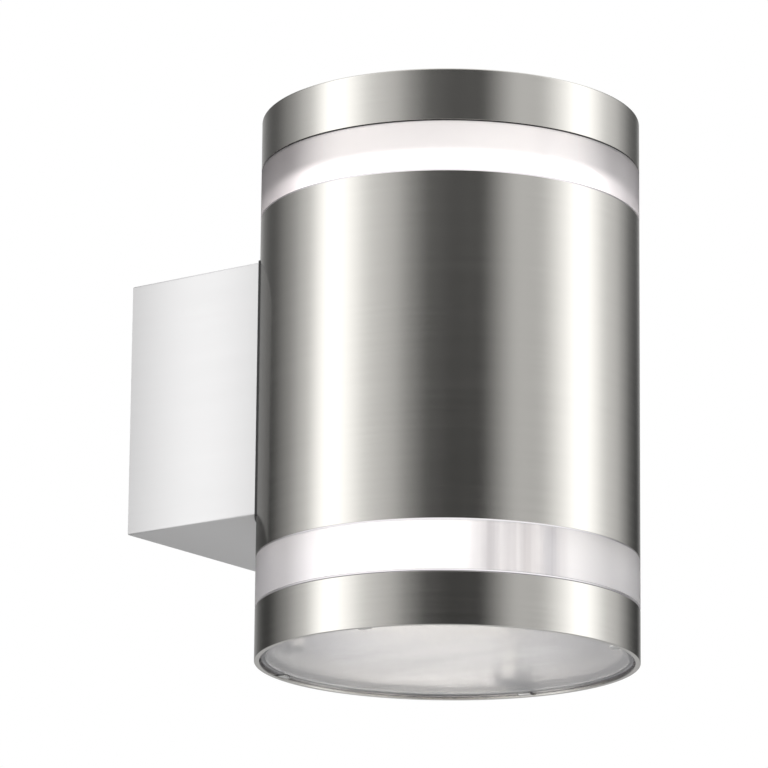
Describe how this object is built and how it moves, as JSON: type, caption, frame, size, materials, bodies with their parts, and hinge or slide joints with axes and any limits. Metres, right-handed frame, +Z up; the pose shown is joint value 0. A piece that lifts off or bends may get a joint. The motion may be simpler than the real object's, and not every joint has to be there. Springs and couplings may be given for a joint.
{
  "type": "tube wall light",
  "caption": "Stainless tube wall light: clear light bands near both ends, a glass lens below, and a square box that stands the tube off the wall.",
  "frame": {"origin": "on the wall, behind the middle of the wall box", "axes": "+Z up along the tube, +Y into the wall, +X to the right when facing the wall"},
  "size_m": [0.11, 0.145, 0.16],
  "materials": {
    "tube_steel": "fine brushed, circumferential grain",
    "box_steel": "satin sheet",
    "steel_screw": "plain stainless",
    "galvanised": "dull zinc",
    "zinc_screw": "bright zinc",
    "cast_aluminium": "turned",
    "brass": "bright",
    "foam": "closed-cell foam",
    "rubber": "matt",
    "silicone": "translucent grey",
    "clear_band": "clear, lightly frosted inside",
    "lens_glass": "clear float glass",
    "block_plastic": "moulded",
    "holder_ceramic": "unglazed porcelain",
    "lamp_metal": "nickel plated",
    "lamp_black": "black glass bead",
    "lamp_plastic": "smooth white",
    "lamp_board": "white solder mask",
    "opal": "opal diffuser",
    "wire_brown": "insulation",
    "wire_blue": "insulation",
    "wire_green": "insulation"
  },
  "bodies": {
    "housing": {"wall_plate": "galvanised", "wall_foam": "foam", "supply_grommet": "rubber", "terminal_block": "block_plastic", "terminal_screws": "brass", "block_screw": "zinc_screw", "earth_screw": "brass", "wall_box": "box_steel", "box_screws": "steel_screw", "saddle_gasket": "rubber", "backing_plate": "galvanised", "saddle_screws": "steel_screw", "saddle_washer": "zinc_screw", "earth_tag": "brass", "saddle_nuts": "zinc_screw", "tube_grommet": "rubber", "body_tube": "tube_steel", "upper_band": "clear_band", "lower_band": "clear_band", "band_seals": "rubber", "ring_seal": "rubber", "top_cap": "tube_steel", "thread_collar": "cast_aluminium", "tie_rods": "steel_screw", "holder_bracket": "galvanised", "bracket_screws": "zinc_screw", "holder_screws": "zinc_screw", "lampholder": "holder_ceramic", "holder_shell": "brass", "centre_contact": "brass", "live_wire": "wire_brown", "neutral_wire": "wire_blue", "earth_wire": "wire_green"},
    "lens_ring": {"bottom_ring": "tube_steel", "lens": "lens_glass", "lens_gasket": "silicone", "lens_clips": "steel_screw"},
    "lamp": {"lamp_cap": "lamp_metal", "lamp_insulator": "lamp_black", "lamp_tip": "lamp_metal", "lamp_housing": "lamp_plastic", "lamp_board": "lamp_board", "lamp_globe": "opal"}
  },
  "joints": [
    {"name": "lens_ring_off", "type": "slide", "parent": "housing", "child": "lens_ring", "axis": [0, 0, -1], "range_m": [0, 0.06]},
    {"name": "lamp_out", "type": "slide", "parent": "housing", "child": "lamp", "axis": [0, 0, -1], "range_m": [0, 0.0181]}
  ]
}
